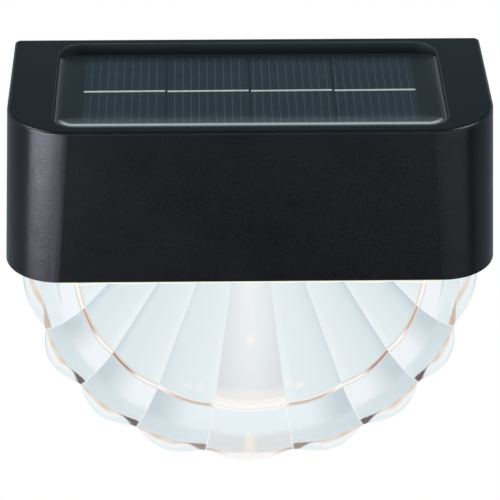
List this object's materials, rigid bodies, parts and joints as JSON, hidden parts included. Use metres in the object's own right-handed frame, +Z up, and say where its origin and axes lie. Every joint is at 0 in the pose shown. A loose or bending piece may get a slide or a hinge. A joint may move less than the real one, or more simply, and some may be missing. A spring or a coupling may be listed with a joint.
{
  "type": "solar wall light",
  "caption": "Black D-shaped solar wall light with a panel recessed in its top and a clear fluted shell shade hanging below its front, hung on keyholes in its flat back.",
  "frame": {"origin": "on the wall plane, midway between the entry circles of the two keyhole hangers", "axes": "+Y into the wall, the front faces -Y; +Z up; +X to the right as seen from the front"},
  "size_m": [0.12, 0.052, 0.1003],
  "materials": {
    "housing_black": "fine matte grain, satin",
    "shade_clear": "clear moulded plastic, glossy",
    "window_clear": "clear moulded plastic",
    "cover_clear": "clear cast resin, glossy",
    "cell_blue": "dark slate silicon",
    "ribbon_tin": "tinned ribbon",
    "backing_black": "dark board",
    "foam_black": "foam",
    "rubber_black": "matte rubber",
    "screw_steel": "plated steel",
    "board_green": "solder mask",
    "board_white": "white solder mask",
    "led_warm": "clear epoxy over warm phosphor",
    "chip_black": "moulded package",
    "inductor_grey": "ferrite",
    "capacitor_sleeve": "sleeved can",
    "cell_sleeve": "plain sleeve",
    "contact_nickel": "nickel plated",
    "cradle_black": "moulded",
    "switch_grey": "moulded",
    "button_grey": "soft satin",
    "lead_red": "PVC insulation",
    "lead_black": "PVC insulation"
  },
  "bodies": {
    "light": {"top_housing": "housing_black", "panel_seal": "foam_black", "solar_backing": "backing_black", "solar_cells": "cell_blue", "cell_ribbons": "ribbon_tin", "solar_cover": "cover_clear", "base_plate": "housing_black", "base_gasket": "rubber_black", "base_screws": "screw_steel", "shade": "shade_clear", "shade_screws": "screw_steel", "led_window": "window_clear", "led_board": "board_white", "leds": "led_warm", "battery_cradle": "cradle_black", "battery_cell": "cell_sleeve", "battery_contacts": "contact_nickel", "controller_board": "board_green", "controller_chip": "chip_black", "inductor": "inductor_grey", "capacitor": "capacitor_sleeve", "switch_body": "switch_grey", "button_collar": "rubber_black", "solar_lead_red": "lead_red", "solar_lead_black": "lead_black", "led_lead_red": "lead_red", "led_lead_black": "lead_black", "battery_lead_red": "lead_red", "battery_lead_black": "lead_black"},
    "button": {"power_button": "button_grey"}
  },
  "joints": [
    {"name": "power_press", "type": "slide", "parent": "light", "child": "button", "axis": [0, 0, 1], "range_m": [0, 0.0012], "stiffness_N_per_m": 900, "springref_m": -0.0012}
  ]
}
